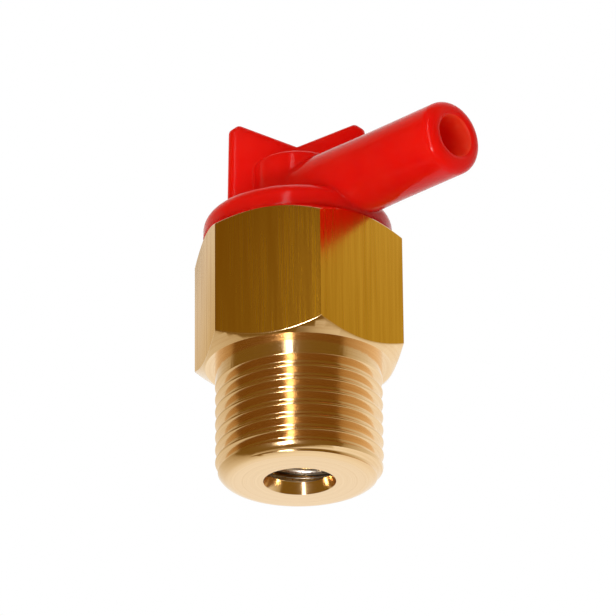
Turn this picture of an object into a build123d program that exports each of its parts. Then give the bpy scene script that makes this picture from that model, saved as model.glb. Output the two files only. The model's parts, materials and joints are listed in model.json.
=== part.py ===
from build123d import *
from math import radians, sqrt, tan
import os

# Thermal relief valve: a brass body turned from hexagon bar, with a G3/8 pipe thread, that holds a wax
# element, its return spring and its seat, under a red moulded outlet cap that swivels.
# Millimetres, +Z up along the valve's axis, +X along the drain spout.
# The origin is where the axis meets the inlet end face.

# Threaded stem, given by the thread's outer diameter
THREAD_DIAMETER = 16.662
STEM_LENGTH = 12.0
STEM_END_ROUND = 1.8

# Hexagon, with both ends turned to a chamfer and a flat turned this far from the spout at rest
HEX_ACROSS_FLATS = 19.0
HEX_HEIGHT = 13.8
HEX_FACE_DIAMETER = 18.6
HEX_CHAMFER_ANGLE = 35.0
HEX_TURN = -2.0

# Bores of the body
INLET_DIAMETER = 7.2
INLET_LIP = 1.4
CHAMBER_DIAMETER = 11.4
UPPER_BORE_DIAMETER = 13.4
BORE_LEAD_IN = 0.35

# Fits and clearances, all per side
RUNNING_CLEARANCE = 0.05
SEALED_CLEARANCE = 0.02
CHAMBER_CLEARANCE = 0.3
GROOVE_CLEARANCE = 0.1

# Seals that sit in grooves
O_RING_GLAND = 1.2
O_RING_GROOVE_WIDTH = 1.7
O_RING_SIDES = 8

# Seat insert with its lip
INSERT_HEIGHT = 3.5
SEAT_HOLE_DIAMETER = 6.2
SEAT_LIP_WIDTH = 0.6
SEAT_LIP_HEIGHT = 0.5
FLARE_WIDTH = 1.5
FLARE_DEPTH = 1.1

# Stop bridge over the insert
BRIDGE_THICKNESS = 1.2
FLOW_HOLE_COUNT = 4
FLOW_HOLE_DIAMETER = 2.6
FLOW_HOLE_CIRCLE = 7.6
SOCKET_DEPTH = 0.4

# Retaining ring
RING_THICKNESS = 1.0
RING_WIDTH = 1.2
RING_GROOVE_DEPTH = 0.4
RING_GAP = 3.2
LUG_DIAMETER = 2.2
LUG_HOLE_DIAMETER = 1.0

# Seal and collar of the wax element
SEAL_DIAMETER = 8.6
SEAL_THICKNESS = 1.5
COLLAR_THICKNESS = 1.4
SCALLOP_COUNT = 4
SCALLOP_DIAMETER = 2.6
SCALLOP_DEPTH = 0.8

# Guide, cup and charge of the wax element
BOSS_DIAMETER = 5.0
BOSS_HEIGHT = 3.5
NECK_DIAMETER = 6.0
RIM_BELOW_COLLAR = 0.7
FOOT_THICKNESS = 0.8
DIAPHRAGM_THICKNESS = 0.8
CLAMP_STEP = 0.5
CUP_WALL = 0.4
CUP_BOTTOM_EDGE = 0.35
WAX_DEPTH = 3.2

# Piston with its plug and disc
PISTON_DIAMETER = 2.5
EDGE_BREAK = 0.25
PLUG_HEIGHT = 2.6
PLUG_FLARE = 0.9
DISC_THICKNESS = 0.3

# Return spring with closed, ground ends
WIRE_DIAMETER = 1.0
WIRE_SIDES = 8
COIL_GAP = 0.05
ACTIVE_COILS = 2.5
END_COILS = 1.25

# Spigot of the cap, with a snap bead between slits
SPIGOT_LENGTH = 5.3
SPIGOT_GAP = 0.5
SPIGOT_BORE_DIAMETER = 8.8
BEAD_HEIGHT = 0.3
BEAD_START = 0.3
BEAD_LENGTH = 1.1
BEAD_LAND = 0.35
CAP_O_RING_DROP = 1.9
SLIT_COUNT = 4
SLIT_WIDTH = 1.0
SLIT_LAND = 0.3

# Flange and hub of the cap
FLANGE_DIAMETER = 19.0
FLANGE_THICKNESS = 2.6
FLANGE_ROUND = 1.6
FLANGE_FLOOR = 1.6
HUB_DIAMETER = 8.8
HUB_ROOF = 1.5
HUB_BORE_DIAMETER = 5.6
HUB_RISE = 4.2
HUB_EDGE_ROUND = 0.45
HUB_ROOT_ROUND = 0.8

# Drain spout of the cap
SPOUT_RISE = 4.05
SPOUT_REACH = 22.6
SPOUT_DIAMETER = 7.5
SPOUT_ROOT_DIAMETER = 7.9
SPOUT_PLAIN_LENGTH = 10.0
SPOUT_BORE_DIAMETER = 4.2
SPOUT_END_ROUND = 1.2
SPOUT_LIP_ROUND = 0.4

# Thumb wing of the cap, an upright plate with a V notch
WING_ANGLE = 46.0
WING_THICKNESS = 2.0
WING_BASE_WIDTH = 14.2
WING_TOP_WIDTH = 13.8
WING_RISE = 4.6
WING_TIP_FROM_EDGE = 1.0
WING_SHOULDER_DROP = 0.7
WING_CORNER_ROUND = 0.6
WING_EDGE_ROUND = 0.7
NOTCH_DEPTH = 2.5
NOTCH_ROUND = 0.2

# Radii that several pieces share
thread_radius = THREAD_DIAMETER / 2
inlet_radius = INLET_DIAMETER / 2
chamber_radius = CHAMBER_DIAMETER / 2
upper_radius = UPPER_BORE_DIAMETER / 2
hex_face_radius = HEX_FACE_DIAMETER / 2
piston_radius = PISTON_DIAMETER / 2
guide_bore_radius = piston_radius + RUNNING_CLEARANCE
gland_radius = upper_radius - O_RING_GLAND
slide_radius = upper_radius - RUNNING_CLEARANCE
ring_groove_radius = upper_radius + RING_GROOVE_DEPTH
bead_radius = upper_radius + BEAD_HEIGHT
spring_radius = chamber_radius - CHAMBER_CLEARANCE - WIRE_DIAMETER / 2
rim_radius = spring_radius - WIRE_DIAMETER / 2 - CHAMBER_CLEARANCE
cup_radius = rim_radius - CLAMP_STEP
collar_radius = chamber_radius - CHAMBER_CLEARANCE

# Heights, from the top of the hexagon down through what is stacked in the body
hex_top = STEM_LENGTH + HEX_HEIGHT
spigot_bottom = hex_top - SPIGOT_LENGTH
ring_top = spigot_bottom - SPIGOT_GAP
bridge_top = ring_top - RING_THICKNESS
insert_top = bridge_top - BRIDGE_THICKNESS
shelf = insert_top - INSERT_HEIGHT
seat = shelf - SEAT_LIP_HEIGHT
collar_top = seat - SEAL_THICKNESS
collar_bottom = collar_top - COLLAR_THICKNESS
rim_top = collar_bottom - RIM_BELOW_COLLAR
foot_top = rim_top - CUP_WALL
foot_bottom = foot_top - FOOT_THICKNESS
cup_shelf = foot_bottom - DIAPHRAGM_THICKNESS
wax_bottom = cup_shelf - WAX_DEPTH
cup_bottom = wax_bottom - CUP_WALL
boss_top = collar_top + BOSS_HEIGHT
plug_top = foot_bottom + PLUG_HEIGHT
disc_top = plug_top + DISC_THICKNESS

# Heights of the cap
bead_bottom = spigot_bottom + BEAD_START
bead_top = bead_bottom + BEAD_LENGTH
cap_gland_middle = hex_top - CAP_O_RING_DROP
cap_gland_bottom = cap_gland_middle - O_RING_GROOVE_WIDTH / 2
flange_top = hex_top + FLANGE_THICKNESS
spout_height = hex_top + SPOUT_RISE
hub_top = spout_height + HUB_RISE
wing_top = hub_top + WING_RISE


def half_section(points):
    """A closed outline of (radius, height) points beside the valve's axis, to be revolved."""
    with BuildSketch(Plane.XZ) as outline:
        with BuildLine():
            Polyline(*points, close=True)
        make_face()
    return outline.sketch


def o_ring_section(height):
    """The section of a seal squeezed flat in its gland, with its middle at this height."""
    with BuildSketch(Plane.XZ) as section:
        with Locations((upper_radius - O_RING_GLAND / 2, height)):
            RegularPolygon(
                O_RING_GLAND / 2 - SEALED_CLEARANCE,
                O_RING_SIDES,
                major_radius=False,
                rotation=180 / O_RING_SIDES,
            )
    return section.sketch


def gland_section(middle):
    """The square groove of a seal, cut in from the bore's wall."""
    low = middle - O_RING_GROOVE_WIDTH / 2
    high = middle + O_RING_GROOVE_WIDTH / 2
    return half_section(
        [(gland_radius, low), (upper_radius, low), (upper_radius, high), (gland_radius, high)]
    )


os.makedirs("parts", exist_ok=True)

# Valve body: hexagon and stem, bored from the top down to the inlet lip
hex_reach = HEX_ACROSS_FLATS / sqrt(3)
hex_chamfer_height = (hex_reach - hex_face_radius) * tan(radians(HEX_CHAMFER_ANGLE))
with BuildPart() as valve_body:
    with BuildSketch(Plane.XY.offset(STEM_LENGTH)):
        RegularPolygon(HEX_ACROSS_FLATS / 2, 6, major_radius=False, rotation=30 + HEX_TURN)
    extrude(amount=HEX_HEIGHT)
    turned_hexagon = half_section(
        [
            (0, STEM_LENGTH),
            (hex_face_radius, STEM_LENGTH),
            (hex_reach, STEM_LENGTH + hex_chamfer_height),
            (hex_reach, hex_top - hex_chamfer_height),
            (hex_face_radius, hex_top),
            (0, hex_top),
        ]
    )
    revolve(turned_hexagon, axis=Axis.Z, mode=Mode.INTERSECT)
    with BuildSketch():
        Circle(thread_radius)
    extrude(amount=STEM_LENGTH)
    fillet(valve_body.edges().group_by(Axis.Z)[0], STEM_END_ROUND)
    bores = half_section(
        [
            (0, 0),
            (inlet_radius, 0),
            (inlet_radius, INLET_LIP),
            (chamber_radius, INLET_LIP),
            (chamber_radius, shelf),
            (upper_radius, shelf),
            (upper_radius, hex_top - BORE_LEAD_IN),
            (upper_radius + BORE_LEAD_IN, hex_top),
            (0, hex_top),
        ]
    )
    revolve(bores, axis=Axis.Z, mode=Mode.SUBTRACT)
    ring_groove = half_section(
        [
            (0, bridge_top),
            (ring_groove_radius, bridge_top),
            (ring_groove_radius, ring_top + GROOVE_CLEARANCE),
            (0, ring_top + GROOVE_CLEARANCE),
        ]
    )
    revolve(ring_groove, axis=Axis.Z, mode=Mode.SUBTRACT)
    snap_groove = half_section(
        [
            (0, bead_bottom - GROOVE_CLEARANCE),
            (bead_radius + GROOVE_CLEARANCE, bead_bottom - GROOVE_CLEARANCE),
            (bead_radius + GROOVE_CLEARANCE, bead_top + GROOVE_CLEARANCE),
            (0, bead_top + GROOVE_CLEARANCE),
        ]
    )
    revolve(snap_groove, axis=Axis.Z, mode=Mode.SUBTRACT)
valve_body.part.label = "valve_body"
export_step(valve_body.part, "parts/valve_body.step")

# Return spring: a closed coil at each end, open coils between, both ends ground flat
closed_pitch = WIRE_DIAMETER + COIL_GAP
closed_height = closed_pitch * END_COILS
open_height = collar_bottom - INLET_LIP - 2 * closed_height
coil_runs = [
    (0, INLET_LIP, closed_pitch, END_COILS),
    (END_COILS, INLET_LIP + closed_height, open_height / ACTIVE_COILS, ACTIVE_COILS),
    (END_COILS + ACTIVE_COILS, collar_bottom - closed_height, closed_pitch, END_COILS),
]
with BuildPart() as return_spring:
    for turns_before, start, pitch, turns in coil_runs:
        with BuildLine() as coil:
            Helix(pitch, pitch * turns, spring_radius, center=(0, 0, start))
        run = coil.line.rotate(Axis.Z, 360 * turns_before)
        outwards = Vector(1, 0, 0).rotate(Axis.Z, 360 * turns_before)
        along = Vector(0, 1, 0).rotate(Axis.Z, 360 * turns_before)
        with BuildSketch(Plane(run @ 0, x_dir=outwards, z_dir=along)):
            RegularPolygon(WIRE_DIAMETER / 2, WIRE_SIDES)
        sweep(path=run, is_frenet=True)
    split(bisect_by=Plane.XY.offset(INLET_LIP), keep=Keep.TOP)
    split(bisect_by=Plane.XY.offset(collar_bottom), keep=Keep.BOTTOM)
return_spring.part.label = "return_spring"
export_step(return_spring.part, "parts/return_spring.step")

# Element cup: a drawn cup whose rim is rolled over the foot of the guide
rim_inside = rim_radius - CUP_WALL
cup_inside = cup_radius - CUP_WALL
neck_radius = NECK_DIAMETER / 2
lip_inside = neck_radius + GROOVE_CLEARANCE
with BuildPart() as element_cup:
    cup_section = half_section(
        [
            (0, cup_bottom),
            (cup_radius, cup_bottom),
            (cup_radius, cup_shelf - CUP_WALL),
            (rim_radius, cup_shelf - CUP_WALL),
            (rim_radius, rim_top),
            (lip_inside, rim_top),
            (lip_inside, foot_top),
            (rim_inside, foot_top),
            (rim_inside, cup_shelf),
            (cup_inside, cup_shelf),
            (cup_inside, wax_bottom),
            (0, wax_bottom),
        ]
    )
    revolve(cup_section, axis=Axis.Z)
    chamfer(element_cup.edges().group_by(Axis.Z)[0], CUP_BOTTOM_EDGE)
element_cup.part.label = "element_cup"
export_step(element_cup.part, "parts/element_cup.step")

# Wax charge: fills the cup up to the diaphragm
with BuildPart() as wax_charge:
    with BuildSketch(Plane.XY.offset(wax_bottom)):
        Circle(cup_inside - SEALED_CLEARANCE)
    extrude(amount=WAX_DEPTH)
wax_charge.part.label = "wax_charge"
export_step(wax_charge.part, "parts/wax_charge.step")

# Diaphragm: clamped by its edge between the cup's shelf and the guide's foot
foot_radius = rim_inside - SEALED_CLEARANCE
with BuildPart() as element_diaphragm:
    with BuildSketch(Plane.XY.offset(cup_shelf)):
        Circle(foot_radius)
    extrude(amount=DIAPHRAGM_THICKNESS)
element_diaphragm.part.label = "element_diaphragm"
export_step(element_diaphragm.part, "parts/element_diaphragm.step")

# Guide: foot in the cup, collar for the spring and the seal, boss that guides the piston
boss_radius = BOSS_DIAMETER / 2
flare_radius = guide_bore_radius + PLUG_FLARE
with BuildPart() as element_guide:
    guide_section = half_section(
        [
            (flare_radius, foot_bottom),
            (foot_radius, foot_bottom),
            (foot_radius, foot_top),
            (neck_radius, foot_top),
            (neck_radius, collar_bottom),
            (collar_radius, collar_bottom),
            (collar_radius, collar_top),
            (boss_radius, collar_top),
            (boss_radius, boss_top),
            (guide_bore_radius, boss_top),
            (guide_bore_radius, foot_bottom + PLUG_FLARE),
        ]
    )
    revolve(guide_section, axis=Axis.Z)
    chamfer(element_guide.edges().group_by(Axis.Z)[-1].sort_by(SortBy.RADIUS)[-1], EDGE_BREAK)
    with BuildSketch(Plane.XY.offset(collar_bottom)):
        with PolarLocations(collar_radius - SCALLOP_DEPTH + SCALLOP_DIAMETER / 2, SCALLOP_COUNT):
            Circle(SCALLOP_DIAMETER / 2)
    extrude(amount=COLLAR_THICKNESS, mode=Mode.SUBTRACT)
element_guide.part.label = "element_guide"
export_step(element_guide.part, "parts/element_guide.step")

# Plug: rubber, with a flared base on the diaphragm
plug_radius = guide_bore_radius - SEALED_CLEARANCE
with BuildPart() as element_plug:
    plug_section = half_section(
        [
            (0, foot_bottom),
            (plug_radius + PLUG_FLARE, foot_bottom),
            (plug_radius, foot_bottom + PLUG_FLARE),
            (plug_radius, plug_top),
            (0, plug_top),
        ]
    )
    revolve(plug_section, axis=Axis.Z)
element_plug.part.label = "element_plug"
export_step(element_plug.part, "parts/element_plug.step")

# Anti-chafe disc: keeps the plug from creeping past the piston
with BuildPart() as anti_chafe_disc:
    with BuildSketch(Plane.XY.offset(plug_top)):
        Circle(piston_radius)
    extrude(amount=DISC_THICKNESS)
anti_chafe_disc.part.label = "anti_chafe_disc"
export_step(anti_chafe_disc.part, "parts/anti_chafe_disc.step")

# Piston: stands on the disc and bears in the socket of the stop bridge
piston_top = insert_top + SOCKET_DEPTH
with BuildPart() as piston:
    with BuildSketch(Plane.XY.offset(disc_top)):
        Circle(piston_radius)
    extrude(amount=piston_top - disc_top)
    chamfer(piston.edges().filter_by(GeomType.CIRCLE), EDGE_BREAK)
piston.part.label = "piston"
export_step(piston.part, "parts/piston.step")

# Valve seal: a flat rubber ring on the collar, pressed to the seat lip
with BuildPart() as valve_seal:
    with BuildSketch(Plane.XY.offset(collar_top)):
        Circle(SEAL_DIAMETER / 2)
        Circle(boss_radius + SEALED_CLEARANCE, mode=Mode.SUBTRACT)
    extrude(amount=SEAL_THICKNESS)
valve_seal.part.label = "valve_seal"
export_step(valve_seal.part, "parts/valve_seal.step")

# Seat insert: stands on the shelf of the body, with the seat lip under it and a flare on top
seat_radius = SEAT_HOLE_DIAMETER / 2
insert_gland_middle = (shelf + insert_top) / 2
with BuildPart() as seat_insert:
    insert_section = half_section(
        [
            (seat_radius, seat),
            (seat_radius + SEAT_LIP_WIDTH, seat),
            (seat_radius + SEAT_LIP_WIDTH, shelf),
            (slide_radius, shelf),
            (slide_radius, insert_top),
            (seat_radius + FLARE_WIDTH, insert_top),
            (seat_radius, insert_top - FLARE_DEPTH),
        ]
    )
    revolve(insert_section, axis=Axis.Z)
    revolve(gland_section(insert_gland_middle), axis=Axis.Z, mode=Mode.SUBTRACT)
seat_insert.part.label = "seat_insert"
export_step(seat_insert.part, "parts/seat_insert.step")

# Seal of the seat insert
with BuildPart() as seat_o_ring:
    revolve(o_ring_section(insert_gland_middle), axis=Axis.Z)
seat_o_ring.part.label = "seat_o_ring"
export_step(seat_o_ring.part, "parts/seat_o_ring.step")

# Stop bridge: a disc with flow holes and a socket for the piston
with BuildPart() as stop_bridge:
    with BuildSketch(Plane.XY.offset(insert_top)):
        Circle(slide_radius)
        with PolarLocations(FLOW_HOLE_CIRCLE / 2, FLOW_HOLE_COUNT):
            Circle(FLOW_HOLE_DIAMETER / 2, mode=Mode.SUBTRACT)
    extrude(amount=BRIDGE_THICKNESS)
    with BuildSketch(Plane.XY.offset(insert_top)):
        Circle(guide_bore_radius)
    extrude(amount=SOCKET_DEPTH, mode=Mode.SUBTRACT)
stop_bridge.part.label = "stop_bridge"
export_step(stop_bridge.part, "parts/stop_bridge.step")

# Retaining ring: an open ring in its groove, with a drilled lug at each end
ring_radius = ring_groove_radius - GROOVE_CLEARANCE
lug_place = ring_radius - RING_WIDTH - LUG_DIAMETER / 4
lug_offset = RING_GAP / 2 + LUG_DIAMETER / 2
with BuildPart() as retaining_ring:
    with BuildSketch(Plane.XY.offset(bridge_top)):
        Circle(ring_radius)
        Circle(ring_radius - RING_WIDTH, mode=Mode.SUBTRACT)
        with Locations((lug_place, lug_offset), (lug_place, -lug_offset)):
            Circle(LUG_DIAMETER / 2)
            Circle(LUG_HOLE_DIAMETER / 2, mode=Mode.SUBTRACT)
        with Locations((ring_radius, 0)):
            Rectangle(2 * (RING_WIDTH + LUG_DIAMETER), RING_GAP, mode=Mode.SUBTRACT)
    extrude(amount=RING_THICKNESS)
retaining_ring.part.label = "retaining_ring"
export_step(retaining_ring.part, "parts/retaining_ring.step")

# Outlet cap: wing, flange, hub, spout and spigot in one moulding, hollow from the spigot to the spout
spout_radius = SPOUT_DIAMETER / 2
spout_bore_radius = SPOUT_BORE_DIAMETER / 2
hub_radius = HUB_DIAMETER / 2
hub_bore_radius = HUB_BORE_DIAMETER / 2
flange_radius = FLANGE_DIAMETER / 2
spigot_bore_radius = SPIGOT_BORE_DIAMETER / 2
spout_axis = Axis((0, 0, spout_height), (1, 0, 0))
wing_plane = Plane.XZ.rotated((0, 0, WING_ANGLE))
wing_low = hex_top + FLANGE_THICKNESS / 2
wing_tip = WING_TOP_WIDTH / 2 - WING_TIP_FROM_EDGE
with BuildPart() as outlet_cap:
    with BuildSketch(wing_plane) as wing:
        with BuildLine():
            Polyline(
                (-WING_BASE_WIDTH / 2, wing_low),
                (WING_BASE_WIDTH / 2, wing_low),
                (WING_TOP_WIDTH / 2, wing_top - WING_SHOULDER_DROP),
                (wing_tip, wing_top),
                (0, wing_top - NOTCH_DEPTH),
                (-wing_tip, wing_top),
                (-WING_TOP_WIDTH / 2, wing_top - WING_SHOULDER_DROP),
                close=True,
            )
        make_face()
        notch = wing.vertices().sort_by_distance((0, wing_top - NOTCH_DEPTH))[0]
        fillet(notch, NOTCH_ROUND)
        outer_corners = wing.vertices().filter_by(
            lambda corner: corner.Y > flange_top and abs(corner.X) > wing_tip / 2
        )
        fillet(outer_corners, WING_CORNER_ROUND)
    extrude(amount=WING_THICKNESS / 2, both=True)
    wing_faces = outlet_cap.faces().sort_by(SortBy.AREA)[-2:]
    wing_edges = wing_faces.edges().filter_by(lambda edge: edge.center().Z > flange_top)
    fillet(wing_edges, WING_EDGE_ROUND)

    with BuildSketch(Plane.XZ) as spout_section:
        with BuildLine():
            Polyline(
                (0, spout_height),
                (SPOUT_REACH, spout_height),
                (SPOUT_REACH, spout_height + spout_radius),
                (SPOUT_REACH - SPOUT_PLAIN_LENGTH, spout_height + spout_radius),
                (0, spout_height + SPOUT_ROOT_DIAMETER / 2),
                close=True,
            )
        make_face()
        end_corner = spout_section.vertices().group_by(Axis.X)[-1].sort_by(Axis.Y)[-1]
        fillet(end_corner, SPOUT_END_ROUND)
    revolve(axis=spout_axis)

    with BuildSketch(Plane.XZ) as flange_section:
        with BuildLine():
            Polyline(
                (0, hex_top),
                (flange_radius, hex_top),
                (flange_radius, flange_top),
                (hub_radius, flange_top),
                (hub_radius, hub_top),
                (0, hub_top),
                close=True,
            )
        make_face()
        for corner, radius in (
            ((flange_radius, flange_top), FLANGE_ROUND),
            ((hub_radius, hub_top), HUB_EDGE_ROUND),
            ((hub_radius, flange_top), HUB_ROOT_ROUND),
        ):
            fillet(flange_section.vertices().sort_by_distance(corner)[0], radius)
    revolve(axis=Axis.Z)

    spigot = half_section(
        [
            (0, spigot_bottom),
            (slide_radius - BEAD_HEIGHT, spigot_bottom),
            (bead_radius, bead_top - BEAD_LAND),
            (bead_radius, bead_top),
            (slide_radius, bead_top),
            (slide_radius, hex_top),
            (0, hex_top),
        ]
    )
    revolve(spigot, axis=Axis.Z)
    revolve(gland_section(cap_gland_middle), axis=Axis.Z, mode=Mode.SUBTRACT)

    passage = half_section(
        [
            (0, spigot_bottom),
            (spigot_bore_radius, spigot_bottom),
            (spigot_bore_radius, flange_top - FLANGE_FLOOR),
            (hub_bore_radius, flange_top - FLANGE_FLOOR),
            (hub_bore_radius, hub_top - HUB_ROOF),
            (0, hub_top - HUB_ROOF),
        ]
    )
    revolve(passage, axis=Axis.Z, mode=Mode.SUBTRACT)
    with BuildSketch(Plane.XZ):
        with BuildLine():
            lip_start = (SPOUT_REACH - SPOUT_LIP_ROUND, spout_height + spout_bore_radius)
            lip_end = (SPOUT_REACH, spout_height + spout_bore_radius + SPOUT_LIP_ROUND)
            Polyline(
                lip_start,
                (0, spout_height + spout_bore_radius),
                (0, spout_height),
                (SPOUT_REACH, spout_height),
                lip_end,
            )
            RadiusArc(lip_end, lip_start, SPOUT_LIP_ROUND)
        make_face()
    revolve(axis=spout_axis, mode=Mode.SUBTRACT)
    with BuildSketch(Plane.XY.offset(spigot_bottom)):
        with PolarLocations(slide_radius, SLIT_COUNT, start_angle=WING_ANGLE):
            Rectangle(2 * (slide_radius - spigot_bore_radius) + SLIT_WIDTH, SLIT_WIDTH)
    extrude(amount=cap_gland_bottom - SLIT_LAND - spigot_bottom, mode=Mode.SUBTRACT)
outlet_cap.part.label = "outlet_cap"
export_step(outlet_cap.part, "parts/outlet_cap.step")

# Seal of the cap's spigot
with BuildPart() as cap_o_ring:
    revolve(o_ring_section(cap_gland_middle), axis=Axis.Z)
cap_o_ring.part.label = "cap_o_ring"
export_step(cap_o_ring.part, "parts/cap_o_ring.step")
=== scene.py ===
# %% [markdown]
# # A thermal relief valve
#
# A brass body, turned from hexagon bar, screws into a pipe by the thread at its lower end. A wax element,
# a return spring and a seat work inside it. On top sits a red moulded cap with a drain spout and a thumb
# wing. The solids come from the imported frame, in metres, with the thread's end face at height zero.

# %% Load the frame
import json
import math

import bpy
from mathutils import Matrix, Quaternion, Vector

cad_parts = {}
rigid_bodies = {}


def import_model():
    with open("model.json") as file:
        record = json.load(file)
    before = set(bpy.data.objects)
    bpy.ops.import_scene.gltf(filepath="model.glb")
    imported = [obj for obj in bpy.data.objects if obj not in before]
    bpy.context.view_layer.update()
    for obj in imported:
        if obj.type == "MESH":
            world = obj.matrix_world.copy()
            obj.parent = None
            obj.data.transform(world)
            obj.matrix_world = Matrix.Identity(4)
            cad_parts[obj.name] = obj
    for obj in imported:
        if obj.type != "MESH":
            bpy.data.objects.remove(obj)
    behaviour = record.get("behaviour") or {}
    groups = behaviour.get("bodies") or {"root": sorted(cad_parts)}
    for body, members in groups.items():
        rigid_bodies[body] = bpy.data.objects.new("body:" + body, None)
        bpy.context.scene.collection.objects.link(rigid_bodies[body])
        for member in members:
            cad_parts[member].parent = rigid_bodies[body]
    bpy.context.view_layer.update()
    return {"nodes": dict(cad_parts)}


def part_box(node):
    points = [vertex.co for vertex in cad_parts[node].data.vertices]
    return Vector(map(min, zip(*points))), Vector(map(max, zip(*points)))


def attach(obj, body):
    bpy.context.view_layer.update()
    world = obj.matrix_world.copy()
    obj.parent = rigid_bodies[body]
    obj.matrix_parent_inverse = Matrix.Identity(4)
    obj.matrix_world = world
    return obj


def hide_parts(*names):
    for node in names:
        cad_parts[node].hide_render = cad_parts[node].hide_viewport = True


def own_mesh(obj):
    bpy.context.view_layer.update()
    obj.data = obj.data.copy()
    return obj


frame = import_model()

cad_nodes = frame["nodes"]
MM = 0.001

# %% [markdown]
# ## The camera
#
# The valve is seen from below, so that its end face and inlet show, through a long lens from half a metre
# away. The spout points to the right and towards us. We place the camera by the angles of that view, then
# roll it by half a degree, and leave its depth of field off.

# %% Camera
VIEW_AZIMUTH = math.radians(46.2)
VIEW_ELEVATION = math.radians(-23.376)
VIEW_ROLL = math.radians(-0.518)
VIEW_DISTANCE = 500 * MM
VIEW_HEIGHT = 18.594 * MM
VIEW_ASIDE = 0.973 * MM
LENS = 292.5

towards = Vector((math.sin(VIEW_AZIMUTH), -math.cos(VIEW_AZIMUTH), 0))
aside = Vector((math.cos(VIEW_AZIMUTH), math.sin(VIEW_AZIMUTH), 0))
view_back = towards * math.cos(VIEW_ELEVATION) + Vector((0, 0, math.sin(VIEW_ELEVATION)))

bpy.ops.object.select_all(action="DESELECT")
bpy.ops.object.camera_add()
camera = bpy.context.object
camera.name = "camera"
camera.data.lens = LENS
camera.location = aside * VIEW_ASIDE + Vector((0, 0, VIEW_HEIGHT)) + view_back * VIEW_DISTANCE
camera.rotation_mode = "QUATERNION"
camera.rotation_quaternion = (-view_back).to_track_quat("-Z", "Y") @ Quaternion((0, 0, 1), VIEW_ROLL)
bpy.context.scene.camera = camera
print("camera at", [round(x, 3) for x in camera.location])

# %% [markdown]
# ## Habits for modelling
#
# Operators act on whatever is selected. So we first choose exactly one object, and inside its mesh we clear
# the selection before we pick points or edges in code. A copy of a CAD node starts as loose triangles, so
# its corners are merged before anything else is done to it. A shape that was wound has two open ends, which
# are filled before it is used.

# %% Helpers for choosing and picking
def choose(piece):
    """Makes one object the only selected one."""
    bpy.ops.object.select_all(action="DESELECT")
    piece.select_set(True)
    bpy.context.view_layer.objects.active = piece


def pick_nothing(piece, kind):
    """Clears the selection inside a mesh, ready for points or edges to be picked in code."""
    choose(piece)
    bpy.ops.object.mode_set(mode="EDIT")
    bpy.ops.mesh.select_mode(type=kind)
    bpy.ops.mesh.select_all(action="DESELECT")
    bpy.ops.object.mode_set(mode="OBJECT")


# %% Helpers for copies, modifiers and open ends
MERGE_DISTANCE = 0.001 * MM


def copy_of_node(node, name):
    """A merged copy of a CAD node's mesh, as a piece of its own."""
    piece = bpy.data.objects.new(name, cad_nodes[node].data.copy())
    bpy.context.scene.collection.objects.link(piece)
    choose(piece)
    bpy.ops.mesh.customdata_custom_splitnormals_clear()
    bpy.ops.object.mode_set(mode="EDIT")
    bpy.ops.mesh.select_all(action="SELECT")
    bpy.ops.mesh.remove_doubles(threshold=MERGE_DISTANCE)
    bpy.ops.object.mode_set(mode="OBJECT")
    return piece


def apply_modifiers(piece):
    """Applies a piece's modifiers from the top down."""
    choose(piece)
    for modifier in list(piece.modifiers):
        bpy.ops.object.modifier_apply(modifier=modifier.name)


def close_ends(piece):
    """Fills the open ends of a wound shape and turns its faces outwards."""
    pick_nothing(piece, "EDGE")
    bpy.ops.object.mode_set(mode="EDIT")
    bpy.ops.mesh.select_non_manifold()
    bpy.ops.mesh.edge_face_add()
    bpy.ops.mesh.select_all(action="SELECT")
    bpy.ops.mesh.normals_make_consistent(inside=False)
    bpy.ops.object.mode_set(mode="OBJECT")


def count_triangles(piece):
    """The number of triangles in a piece's mesh."""
    return sum(len(face.vertices) - 2 for face in piece.data.polygons)


# %% [markdown]
# ## The brass body
#
# On the real part the hexagon keeps the skin of the drawn bar, while the stem, the chamfers and the ends
# are turned on a lathe. The shape from the frame is right, so we copy it and add what the tools leave: a lip
# that opens downwards like a shallow funnel, slightly broken edges round the flats, and a true pipe thread.
# The funnel matters because it mirrors the lamp in front of the valve, which a straight hole can't do. Its
# lower edge stays in place, and the upper one is drawn in and down a little.

# %% Body copy with the funnel of its inlet
INLET_RADIUS = 3.6 * MM
LIP_HEIGHT = 1.4 * MM
FUNNEL_RADIUS = 3.18 * MM
FUNNEL_HEIGHT = 1.16 * MM
NEAR = 0.02 * MM

body = copy_of_node("valve_body", "threaded_body")
pick_nothing(body, "VERT")
for point in body.data.vertices:
    at_bore = abs(point.co.xy.length - INLET_RADIUS) < NEAR
    point.select = at_bore and abs(point.co.z - LIP_HEIGHT) < NEAR
print("points round the lip's upper edge:", sum(point.select for point in body.data.vertices))
narrower = FUNNEL_RADIUS / INLET_RADIUS
bpy.ops.object.mode_set(mode="EDIT")
bpy.ops.transform.resize(value=(narrower, narrower, 1), center_override=(0, 0, 0))
bpy.ops.transform.translate(value=(0, 0, FUNNEL_HEIGHT - LIP_HEIGHT))
bpy.ops.object.mode_set(mode="OBJECT")

# %% [markdown]
# ## Broken edges
#
# A chamfer tool leaves a fine burr where it meets the flats, and a file takes it off. A Bevel modifier could
# break every edge, but the upright corners of drawn bar stay crisp. So we pick only the edges that have a
# flat on one side and no flat on the other, and bevel those.

# %% Broken edges round the flats
STEM_TOP = 12.0 * MM
FLAT_INSET = 9.4 * MM
UPRIGHT_SLANT = 0.05
EDGE_BREAK = 0.07 * MM
BREAK_STEPS = 2
SHARP_COSINE = math.cos(math.radians(18))


def is_flat_of_hexagon(face):
    """True for a face on one of the six flats."""
    upright = abs(face.normal.z) < UPRIGHT_SLANT
    middle = face.center
    outside = face.normal.dot(Vector((middle.x, middle.y, 0))) > FLAT_INSET
    return upright and outside and middle.z > STEM_TOP


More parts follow.
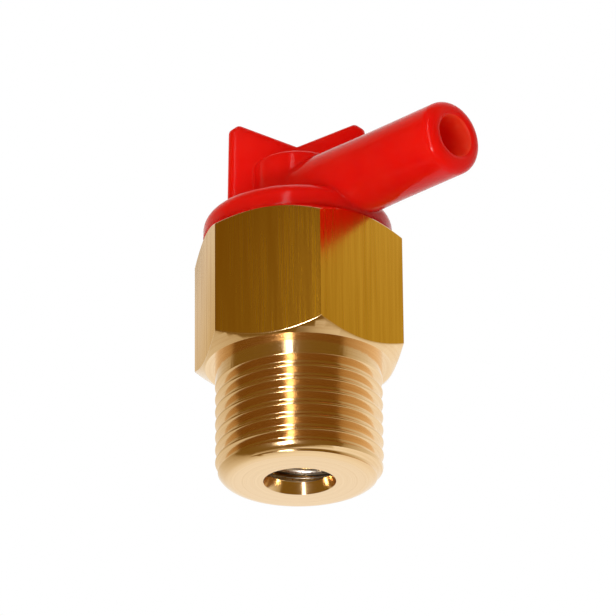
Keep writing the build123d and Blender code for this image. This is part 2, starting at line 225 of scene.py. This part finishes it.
pick_nothing(body, "EDGE")
faces_of_edge = {}
for face in body.data.polygons:
    for key in face.edge_keys:
        faces_of_edge.setdefault(key, []).append(face)
for edge in body.data.edges:
    first, second = faces_of_edge[edge.key]
    rims_flat = is_flat_of_hexagon(first) != is_flat_of_hexagon(second)
    edge.select = rims_flat and first.normal.dot(second.normal) < SHARP_COSINE
print("edges to break:", sum(edge.select for edge in body.data.edges))
bpy.ops.object.mode_set(mode="EDIT")
bpy.ops.mesh.bevel(offset=EDGE_BREAK, segments=BREAK_STEPS, affect="EDGES", clamp_overlap=True)
bpy.ops.object.mode_set(mode="OBJECT")

# %% [markdown]
# ## The pipe thread
#
# A 3/8 inch parallel pipe thread has a pitch of 1.337 mm, flanks at 55 degrees and rounded crests and roots.
# Bump could only paint it, so we cut it: the section of the groove is drawn beside the axis, a Screw
# modifier winds it upwards, and a Boolean takes it out of the stem. Towards the shoulder the die backs off,
# so the last steps of the cutter move outwards and the groove runs out.

# %% Section of the groove
THREAD_PITCH = 1.337 * MM
THREAD_RADIUS = 8.331 * MM
THREAD_DEPTH = 0.856 * MM
HALF_FLANK = math.radians(27.5)
CREST_ROUND = 0.11 * MM
CREST_LAND = 0.04 * MM
CUTTER_MARGIN = 0.3 * MM
ARC_STEPS = 5


def groove_section():
    """Points (radius, height) round the groove, from its lower lip by way of the root to its upper lip."""
    lip = (THREAD_PITCH - CREST_LAND) / 2
    turn = math.pi / 2 - HALF_FLANK

    def on_crest(angle):
        """A point on the round of the upper crest."""
        return THREAD_RADIUS - CREST_ROUND * (1 - math.cos(angle)), lip - CREST_ROUND * math.sin(angle)

    crest_radius, crest_height = on_crest(turn)
    root = THREAD_RADIUS - THREAD_DEPTH
    slope = math.tan(HALF_FLANK)
    left_over = crest_height - slope * (crest_radius - root)
    root_round = left_over / (math.sin(turn) - slope * (1 - math.cos(turn)))
    upper = []
    for step in range(ARC_STEPS + 1):
        angle = turn * step / ARC_STEPS
        upper.append((root + root_round * (1 - math.cos(angle)), root_round * math.sin(angle)))
    upper += [on_crest(turn * (1 - step / ARC_STEPS)) for step in range(ARC_STEPS + 1)]
    upper.append((THREAD_RADIUS + CUTTER_MARGIN, lip))
    lower = [(radius, -height) for radius, height in reversed(upper[1:])]
    return lower + upper


section = groove_section()
print("groove section:", len(section), "points")

# %% Cutter wound from the section
CUTTER_START = -2.1 * THREAD_PITCH
CUTTER_TURNS = 10
STEPS_PER_TURN = 96
THREAD_PHASE = math.radians(-160)

bpy.ops.object.select_all(action="DESELECT")
bpy.ops.mesh.primitive_circle_add(vertices=len(section), radius=THREAD_DEPTH)
cutter = bpy.context.object
across = Vector((math.cos(THREAD_PHASE), math.sin(THREAD_PHASE), 0))
for vertex, (radius, height) in zip(cutter.data.vertices, section):
    vertex.co = across * radius + Vector((0, 0, CUTTER_START + height))
winding = cutter.modifiers.new("winding", "SCREW")
winding.axis = "Z"
winding.angle = 2 * math.pi
winding.screw_offset = THREAD_PITCH
winding.iterations = CUTTER_TURNS
winding.steps = STEPS_PER_TURN
winding.render_steps = STEPS_PER_TURN
winding.use_normal_calculate = True
apply_modifiers(cutter)
rings = len(cutter.data.vertices) // len(section)
print("cutter rings:", rings)

# %% Run-out of the cutter
RUN_OUT_STEPS = 40
RUN_OUT = THREAD_DEPTH + CUTTER_MARGIN / 2

for index, vertex in enumerate(cutter.data.vertices):
    steps_left = rings - 1 - index // len(section)
    if steps_left < RUN_OUT_STEPS:
        outwards = Vector((vertex.co.x, vertex.co.y, 0)).normalized()
        vertex.co += outwards * RUN_OUT * (1 - steps_left / RUN_OUT_STEPS)
close_ends(cutter)
print("cutter:", count_triangles(cutter), "triangles")

# %% Thread cut into the stem
SMOOTH_ANGLE = math.radians(32)

cut = body.modifiers.new("thread", "BOOLEAN")
cut.operation = "DIFFERENCE"
cut.solver = "MANIFOLD"
cut.object = cutter
apply_modifiers(body)
bpy.data.objects.remove(cutter)
bpy.ops.object.mode_set(mode="EDIT")
bpy.ops.mesh.select_all(action="SELECT")
bpy.ops.mesh.dissolve_degenerate(threshold=MERGE_DISTANCE)
bpy.ops.object.mode_set(mode="OBJECT")
bpy.ops.object.shade_smooth_by_angle(angle=SMOOTH_ANGLE)
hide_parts("valve_body")
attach(body, "housing")
print("threaded body:", count_triangles(body), "triangles")

# %% [markdown]
# ## The return spring
#
# Its lowest coils show through the inlet. It is wound from round wire with a closed coil at each end, and
# both ends are ground flat. A Screw modifier winds the wire evenly, and then each ring of points is lifted
# to its real height, because the end coils lie close and the middle ones are open. Points past the ends
# are brought level with them. That gives the same flats as grinding, and no cut has to be closed.

# %% Heights along the spring
CLOSED_PITCH = 1.05 * MM
END_COILS = 1.25
SPRING_TURNS = 5

spring_low, spring_high = (corner.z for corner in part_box("return_spring"))
spring_length = spring_high - spring_low
open_coils = SPRING_TURNS - 2 * END_COILS
open_pitch = (spring_length - 2 * END_COILS * CLOSED_PITCH) / open_coils


def wire_height(turn):
    """Height of the wire's middle after this many turns from the bottom."""
    opened = min(max(turn - END_COILS, 0), open_coils)
    closed = turn - opened
    return spring_low + closed * CLOSED_PITCH + opened * open_pitch


print("open pitch:", round(open_pitch / MM, 2), "mm")

# %% Spring wound from round wire
WIRE_RADIUS = 0.5 * MM
COIL_RADIUS = 4.9 * MM
WIRE_POINTS = 16
COIL_STEPS = 64

bpy.ops.object.select_all(action="DESELECT")
bpy.ops.mesh.primitive_circle_add(vertices=WIRE_POINTS, radius=WIRE_RADIUS)
spring = bpy.context.object
spring.name = "spring_wire"
bpy.ops.object.mode_set(mode="EDIT")
bpy.ops.mesh.select_all(action="SELECT")
bpy.ops.transform.rotate(value=math.pi / 2, orient_axis="X", center_override=(0, 0, 0))
bpy.ops.transform.translate(value=(COIL_RADIUS, 0, 0))
bpy.ops.object.mode_set(mode="OBJECT")
winding = spring.modifiers.new("winding", "SCREW")
winding.axis = "Z"
winding.screw_offset = 0
winding.iterations = SPRING_TURNS
winding.steps = COIL_STEPS
winding.render_steps = COIL_STEPS
apply_modifiers(spring)
for index, vertex in enumerate(spring.data.vertices):
    height = vertex.co.z + wire_height(index // WIRE_POINTS / COIL_STEPS)
    vertex.co.z = min(max(height, spring_low), spring_high)
close_ends(spring)
bpy.ops.object.shade_smooth_by_angle(angle=SMOOTH_ANGLE)
print("spring:", count_triangles(spring), "triangles,", round(spring_length / MM, 2), "mm long")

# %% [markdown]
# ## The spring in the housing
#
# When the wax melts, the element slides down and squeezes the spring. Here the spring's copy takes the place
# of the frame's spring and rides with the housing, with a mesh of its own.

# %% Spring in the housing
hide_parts("return_spring")
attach(spring, "housing")
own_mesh(spring)

# %% [markdown]
# ## The red cap
#
# The cap is one moulding: flange, hub, spout, thumb wing and the spigot that snaps into the body. The frame
# holds its real form, hollow from the spigot to the spout, so the copy only needs smooth shading.

# %% Cap copy
cap = copy_of_node("outlet_cap", "moulded_cap")
bpy.ops.object.shade_smooth_by_angle(angle=SMOOTH_ANGLE)
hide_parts("outlet_cap")
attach(cap, "cap")
print("cap:", count_triangles(cap), "triangles")

# %% [markdown]
# ## Finishes
#
# Each finish is a small node tree on one Principled shader. Patterns read Object coordinates, so that they
# stay on the piece. Two patterns come back often: lines drawn along the bar, and rings left by a lathe. A
# pattern steers the tone and the gloss together, as a scratch does, and can raise the surface a little.

# %% Helpers for nodes
def new_finish(name):
    """A material with one Principled shader. Returns the material and the shader."""
    finish = bpy.data.materials.new(name)
    finish.use_nodes = True
    return finish, finish.node_tree.nodes["Principled BSDF"]


def add_node(owner, kind, **settings):
    """Adds a node to a finish or to the world, and sets its properties."""
    node = owner.node_tree.nodes.new(kind)
    for setting, value in settings.items():
        setattr(node, setting, value)
    return node


def join(owner, output, target):
    """Links an output socket to an input socket."""
    owner.node_tree.links.new(output, target)


# %% Helpers for places on a piece
def object_place(finish, stretch=(1, 1, 1)):
    """Object coordinates, stretched along the axes."""
    coordinates = add_node(finish, "ShaderNodeTexCoord")
    mapping = add_node(finish, "ShaderNodeMapping")
    mapping.inputs["Scale"].default_value = stretch
    join(finish, coordinates.outputs["Object"], mapping.inputs["Vector"])
    return mapping.outputs["Vector"]


def lathe_place(finish):
    """Coordinates (distance from the axis, 0, height), in which any pattern becomes rings."""
    flat = object_place(finish, (1, 1, 0))
    radius = add_node(finish, "ShaderNodeVectorMath", operation="LENGTH")
    join(finish, flat, radius.inputs[0])
    split = add_node(finish, "ShaderNodeSeparateXYZ")
    join(finish, object_place(finish), split.inputs[0])
    place = add_node(finish, "ShaderNodeCombineXYZ")
    join(finish, radius.outputs["Value"], place.inputs["X"])
    join(finish, split.outputs["Z"], place.inputs["Z"])
    return place.outputs["Vector"]


# %% Helpers for patterns
NOISE_LOW, NOISE_HIGH = 0.3, 0.7
MIX_FIRST, MIX_SECOND, MIX_RESULT = 6, 7, 2


def add_noise(finish, place, scale, detail):
    """A noise pattern read at a place. Returns its value from 0 to 1."""
    noise = add_node(finish, "ShaderNodeTexNoise")
    noise.inputs["Scale"].default_value = scale
    noise.inputs["Detail"].default_value = detail
    join(finish, place, noise.inputs["Vector"])
    return noise.outputs["Fac"]


def add_range(finish, pattern, low, high):
    """Maps the middle of a noise pattern onto a range."""
    span = add_node(finish, "ShaderNodeMapRange")
    span.inputs["From Min"].default_value = NOISE_LOW
    span.inputs["From Max"].default_value = NOISE_HIGH
    span.inputs["To Min"].default_value = low
    span.inputs["To Max"].default_value = high
    join(finish, pattern, span.inputs["Value"])
    return span.outputs["Result"]


# %% Helpers that lay a pattern on a shader
def add_tone(finish, shader, pattern, first, second):
    """Mixes two colours by a pattern."""
    mix = add_node(finish, "ShaderNodeMix", data_type="RGBA")
    join(finish, add_range(finish, pattern, 0, 1), mix.inputs["Factor"])
    mix.inputs[MIX_FIRST].default_value = (*first, 1)
    mix.inputs[MIX_SECOND].default_value = (*second, 1)
    join(finish, mix.outputs[MIX_RESULT], shader.inputs["Base Color"])


def add_gloss(finish, shader, pattern, roughness):
    """Lets the roughness follow a pattern, from its low to its high places."""
    join(finish, add_range(finish, pattern, *roughness), shader.inputs["Roughness"])


def add_bump(finish, shader, pattern, depth):
    """Raises the surface by a pattern, to a depth in metres."""
    bump = add_node(finish, "ShaderNodeBump")
    bump.inputs["Distance"].default_value = depth
    join(finish, pattern, bump.inputs["Height"])
    join(finish, bump.outputs["Normal"], shader.inputs["Normal"])
    return bump


# %% [markdown]
# ### Brass
#
# The flats show the dull, streaky skin of drawn bar, darker and browner than the freshly turned faces. The
# turned brass is bright, with fine rings. One finish with a mask could hold both, but the border between
# them is an edge of the mesh, so two finishes on two sets of faces are simpler and sharper.

# %% Skin of the drawn bar
BAR_STRETCH = (1, 1, 0.03)
BAR_DEEP = (0.66, 0.34, 0.021)
BAR_BRIGHT = (0.79, 0.44, 0.043)
BAR_ROUGHNESS = (0.3, 0.2)
BAR_DEPTH = 0.004 * MM


def drawn_brass():
    """Skin of drawn hexagon bar: streaks along the bar, in tone and in gloss."""
    finish, shader = new_finish("drawn_brass")
    streaks = add_noise(finish, object_place(finish, BAR_STRETCH), scale=2600, detail=5)
    add_tone(finish, shader, streaks, BAR_DEEP, BAR_BRIGHT)
    add_gloss(finish, shader, streaks, BAR_ROUGHNESS)
    add_bump(finish, shader, streaks, BAR_DEPTH)
    shader.inputs["Metallic"].default_value = 1
    return finish


# %% Turned brass
TURNED_PALE = (0.94, 0.68, 0.38)
TURNED_DEEP = (0.86, 0.57, 0.28)
TURNED_ROUGHNESS = (0.2, 0.13)
TURNED_DEPTH = 0.0015 * MM
COAT_WEIGHT = 0.6
COAT_ROUGHNESS = 0.12


def turned_brass(name, pale, deep):
    """Brass from the lathe: bright, with fine rings."""
    finish, shader = new_finish(name)
    rings_seen = add_noise(finish, lathe_place(finish), scale=5200, detail=3)
    add_tone(finish, shader, rings_seen, deep, pale)
    add_gloss(finish, shader, rings_seen, TURNED_ROUGHNESS)
    add_bump(finish, shader, rings_seen, TURNED_DEPTH)
    shader.inputs["Metallic"].default_value = 1
    shader.inputs["Coat Weight"].default_value = COAT_WEIGHT
    shader.inputs["Coat Roughness"].default_value = COAT_ROUGHNESS
    return finish


body.data.materials.clear()
body.data.materials.append(turned_brass("turned_brass", TURNED_PALE, TURNED_DEEP))
body.data.materials.append(drawn_brass())
for face in body.data.polygons:
    face.material_index = int(is_flat_of_hexagon(face))
print("faces with bar skin:", sum(face.material_index for face in body.data.polygons))

# %% [markdown]
# ### Red moulding
#
# The cap is glossy and lets some light in, so that thin edges glow. Subsurface scattering gives that glow,
# and in red plastic the red light travels furthest. Where the spout, the hub and the wing meet, a mould
# leaves soft corners. Fillets on such a joint break easily, so a Bevel node softens them in the shading.
# The spout's bore is duller than the outside. Its red is painted lighter and more orange, as painted light
# for the light that comes into it from all round. Its faces are near the spout's axis and look towards it,
# and they get this painted lighter red.

# %% Red plastic
RED_SPECULAR = 0.12
GLOW_REACH = (1.0, 0.12, 0.05)
GLOW_DEPTH = 8 * MM
PEEL_DEPTH = 0.004 * MM
CORNER_BLEND = 0.5 * MM


def red_moulding(name, deep, bright, roughness):
    """Red plastic that light enters a little way, with soft corners and a faint orange peel."""
    finish, shader = new_finish(name)
    cloud = add_noise(finish, object_place(finish), scale=260, detail=2)
    add_tone(finish, shader, cloud, deep, bright)
    add_gloss(finish, shader, cloud, roughness)
    shader.inputs["Specular IOR Level"].default_value = RED_SPECULAR
    shader.inputs["Subsurface Weight"].default_value = 1
    shader.inputs["Subsurface Radius"].default_value = GLOW_REACH
    shader.inputs["Subsurface Scale"].default_value = GLOW_DEPTH
    orange_peel = add_noise(finish, object_place(finish), scale=1500, detail=2)
    bump = add_bump(finish, shader, orange_peel, PEEL_DEPTH)
    soft_corners = add_node(finish, "ShaderNodeBevel", samples=8)
    soft_corners.inputs["Radius"].default_value = CORNER_BLEND
    join(finish, soft_corners.outputs["Normal"], bump.inputs["Normal"])
    return finish


# %% Red outside and painted lighter red in the bore
RED_DEEP = (0.86, 0.005, 0.004)
RED_BRIGHT = (0.92, 0.009, 0.005)
RED_ROUGHNESS = (0.1, 0.15)
# Painted light: the bore's red is lighter and more orange than the outside, standing in for light that
# shines into it.
PAINTED_BORE_LIGHT_DEEP = (0.95, 0.025, 0.008)
PAINTED_BORE_LIGHT_BRIGHT = (0.98, 0.04, 0.012)
BORE_ROUGHNESS = (0.4, 0.5)
BORE_RADIUS = 2.2 * MM
SPOUT_HEIGHT = 29.85 * MM

cap.data.materials.clear()
cap.data.materials.append(red_moulding("red_moulding", RED_DEEP, RED_BRIGHT, RED_ROUGHNESS))
cap.data.materials.append(red_moulding("red_bore_painted_light", PAINTED_BORE_LIGHT_DEEP, PAINTED_BORE_LIGHT_BRIGHT, BORE_ROUGHNESS))
for face in cap.data.polygons:
    from_axis = Vector((0, face.center.y, face.center.z - SPOUT_HEIGHT))
    looks_in = face.normal.dot(from_axis) < 0
    face.material_index = int(looks_in and face.center.x > 0 and from_axis.length < BORE_RADIUS)
print("faces in the spout's bore:", sum(face.material_index for face in cap.data.polygons))

# %% [markdown]
# ### Inner pieces
#
# What is inside hardly shows, but each piece still gets the finish of its own stuff: drawn and stamped
# steel, brass, rubber, wax and a white slippery plastic. Their shapes stay as the frame has them.

# %% Steel and dull stuffs
STEEL_ROUGHNESS = (0.36, 0.24)
STEEL_DARK_SHARE = 0.8
MOTTLE_DEPTH = 0.01 * MM


def steel(name, tone, stretch):
    """Bright steel with fine lines along the stretched axis."""
    finish, shader = new_finish(name)
    lines = add_noise(finish, object_place(finish, stretch), scale=3000, detail=3)
    dark = tuple(STEEL_DARK_SHARE * part for part in tone)
    add_tone(finish, shader, lines, dark, tone)
    add_gloss(finish, shader, lines, STEEL_ROUGHNESS)
    shader.inputs["Metallic"].default_value = 1
    return finish


def dull(name, dark, light, scale, roughness):
    """A dull stuff with a soft mottle."""
    finish, shader = new_finish(name)
    mottle = add_noise(finish, object_place(finish), scale, detail=3)
    add_tone(finish, shader, mottle, dark, light)
    add_bump(finish, shader, mottle, MOTTLE_DEPTH)
    shader.inputs["Roughness"].default_value = roughness
    return finish


# %% Finishes of the spring and the inner pieces
spring.data.materials.clear()
spring.data.materials.append(steel("spring_steel", tone=(0.96, 0.9, 0.82), stretch=(1, 1, 1)))
stamped = steel("stamped_steel", tone=(0.55, 0.56, 0.58), stretch=(1, 0.05, 1))
inner_brass = turned_brass("element_brass", pale=(0.92, 0.66, 0.26), deep=(0.84, 0.55, 0.18))
rubber = dull("black_rubber", (0.018, 0.018, 0.018), (0.035, 0.035, 0.035), scale=900, roughness=0.75)
wax = dull("wax", (0.62, 0.5, 0.26), (0.76, 0.66, 0.42), scale=500, roughness=0.6)
white_plastic = dull("white_plastic", (0.74, 0.74, 0.7), (0.84, 0.84, 0.8), scale=900, roughness=0.5)
finish_of_node = {
    "element_cup": inner_brass,
    "element_guide": inner_brass,
    "seat_insert": inner_brass,
    "piston": stamped,
    "stop_bridge": stamped,
    "retaining_ring": stamped,
    "element_diaphragm": rubber,
    "element_plug": rubber,
    "valve_seal": rubber,
    "seat_o_ring": rubber,
    "cap_o_ring": rubber,
    "wax_charge": wax,
    "anti_chafe_disc": white_plastic,
}
for node, finish in finish_of_node.items():
    cad_nodes[node].material_slots[0].material = finish
print("inner pieces with a finish:", len(finish_of_node))

# %% [markdown]
# ## The floor
#
# The valve stands on a pale floor. The camera looks up from below it, so the floor is see-through from that
# side. Only the camera sees it, and reflections and fill light pass it by. More lamps could make it pale,
# but they would bleach the valve too, so the floor glows a little, and the shadow still falls on it.

# %% Floor
FLOOR_SIZE = 1.2
FLOOR_DROP = 0.03 * MM
FLOOR_COLOUR = (0.86, 0.86, 0.86, 1)
FLOOR_ROUGHNESS = 0.9
FLOOR_GLOW = 0.35
WHITE = (1, 1, 1, 1)

bpy.ops.object.select_all(action="DESELECT")
bpy.ops.mesh.primitive_plane_add(size=FLOOR_SIZE, location=(0, 0, -FLOOR_DROP))
floor = bpy.context.object
floor.name = "floor"
floor.visible_diffuse = False
floor.visible_glossy = False
floor.visible_transmission = False
floor.visible_shadow = False
print("floor side:", FLOOR_SIZE, "m")

# %% Floor finish, see-through from below
floor_finish, floor_shader = new_finish("floor_white")
floor_shader.inputs["Base Color"].default_value = FLOOR_COLOUR
floor_shader.inputs["Roughness"].default_value = FLOOR_ROUGHNESS
floor_shader.inputs["Emission Color"].default_value = WHITE
floor_shader.inputs["Emission Strength"].default_value = FLOOR_GLOW
side = add_node(floor_finish, "ShaderNodeNewGeometry")
see_through = add_node(floor_finish, "ShaderNodeBsdfTransparent")
one_sided = add_node(floor_finish, "ShaderNodeMixShader")
join(floor_finish, side.outputs["Backfacing"], one_sided.inputs[0])
join(floor_finish, floor_shader.outputs[0], one_sided.inputs[1])
join(floor_finish, see_through.outputs[0], one_sided.inputs[2])
surface = floor_finish.node_tree.nodes["Material Output"].inputs["Surface"]
join(floor_finish, one_sided.outputs[0], surface)
floor.data.materials.append(floor_finish)
print("floor glow:", FLOOR_GLOW)

# %% [markdown]
# ## The room around the valve
#
# To the camera the world is plain white. To dull surfaces it is an even fill light. To reflections it is a
# room: a bright wall behind the valve, which fades into a dim, warm side near the camera. Brass shows
# little but its surroundings, so that fade is what makes one flat dark and the next one bright. Panels of
# light could do the same, but a ramp over the compass direction has no edges to show in the metal.

# %% Room that reflections see
WALL_TURN = math.radians(161)
STUDIO_STOPS = (
    (0.42, (0.19, 0.105, 0.012)),
    (0.47, (0.46, 0.36, 0.2)),
    (0.75, (0.72, 0.66, 0.54)),
    (0.97, (0.96, 0.95, 0.92)),
)

world = bpy.data.worlds.new("studio")
world.use_nodes = True
world.node_tree.nodes.clear()
bpy.context.scene.world = world

wall_direction = towards * math.cos(WALL_TURN) + aside * math.sin(WALL_TURN)
level = add_node(world, "ShaderNodeVectorMath", operation="MULTIPLY")
level.inputs[1].default_value = (1, 1, 0)
join(world, add_node(world, "ShaderNodeTexCoord").outputs["Generated"], level.inputs[0])
heading = add_node(world, "ShaderNodeVectorMath", operation="NORMALIZE")
join(world, level.outputs["Vector"], heading.inputs[0])
facing = add_node(world, "ShaderNodeVectorMath", operation="DOT_PRODUCT")
facing.inputs[1].default_value = wall_direction
join(world, heading.outputs["Vector"], facing.inputs[0])
behind = add_node(world, "ShaderNodeMapRange")
behind.inputs["From Min"].default_value = -1
join(world, facing.outputs["Value"], behind.inputs["Value"])
print("wall towards", [round(x, 2) for x in wall_direction])

# %% Colours of the room
ramp = add_node(world, "ShaderNodeValToRGB")
stops = ramp.color_ramp.elements
for position, _ in STUDIO_STOPS[len(stops):]:
    stops.new(position)
for stop, (position, colour) in zip(stops, STUDIO_STOPS):
    stop.position = position
    stop.color = (*colour, 1)
join(world, behind.outputs["Result"], ramp.inputs["Fac"])
studio = add_node(world, "ShaderNodeBackground")
join(world, ramp.outputs["Color"], studio.inputs["Color"])
print("stops in the room's ramp:", len(stops))

# %% World for the camera, for dull surfaces and for reflections
FILL_LIGHT = 0.45


def plain_light(strength):
    """A white background of one strength."""
    background = add_node(world, "ShaderNodeBackground")
    background.inputs["Color"].default_value = WHITE
    background.inputs["Strength"].default_value = strength
    return background.outputs[0]


def choose_light(share, first, second):
    """Mixes two backgrounds by a share."""
    mix = add_node(world, "ShaderNodeMixShader")
    for output, target in zip((share, first, second), mix.inputs):
        join(world, output, target)
    return mix.outputs[0]


ray = add_node(world, "ShaderNodeLightPath")
on_object = choose_light(ray.outputs["Is Glossy Ray"], plain_light(FILL_LIGHT), studio.outputs[0])
seen = add_node(world, "ShaderNodeMath", operation="MAXIMUM")
join(world, ray.outputs["Is Camera Ray"], seen.inputs[0])
join(world, ray.outputs["Is Transmission Ray"], seen.inputs[1])
in_picture = choose_light(seen.outputs[0], on_object, plain_light(1))
join(world, in_picture, add_node(world, "ShaderNodeOutputWorld").inputs["Surface"])
print("fill light:", FILL_LIGHT)

# %% [markdown]
# ## Two lamps
#
# A tall strip near the camera draws the bright line down the thread, and a small flash from below lights
# the funnel and leaves a spot on the spout. Both are placed by their angles from the camera's side.

# %% Lamps
MIDDLE = Vector((0, 0, VIEW_HEIGHT))


def add_lamp(name, turn, lift, distance, size, power):
    """A lamp of a width and height that looks at the valve, placed by angles from the camera's side."""
    bpy.ops.object.select_all(action="DESELECT")
    bpy.ops.object.light_add(type="AREA")
    lamp = bpy.context.object
    lamp.name = name
    lamp.data.shape = "RECTANGLE"
    lamp.data.size, lamp.data.size_y = size
    lamp.data.energy = power
    round_valve = towards * math.cos(turn) + aside * math.sin(turn)
    away = round_valve * math.cos(lift) + Vector((0, 0, math.sin(lift)))
    lamp.location = MIDDLE + away * distance
    lamp.rotation_mode = "QUATERNION"
    lamp.rotation_quaternion = (-away).to_track_quat("-Z", "Y")
    print(name, "at", [round(x, 2) for x in lamp.location])


add_lamp("strip_lamp", turn=math.radians(-13.5), lift=0, distance=0.7, size=(0.1, 1.4), power=2.2)
add_lamp(
    "flash", turn=math.radians(-22), lift=math.radians(-38), distance=0.5, size=(0.09, 0.09), power=1.0
)

# %% [markdown]
# ## Close
#
# Colours are shown as they are written, so the view transform is Standard.

# %% View transform
bpy.context.scene.view_settings.view_transform = "Standard"
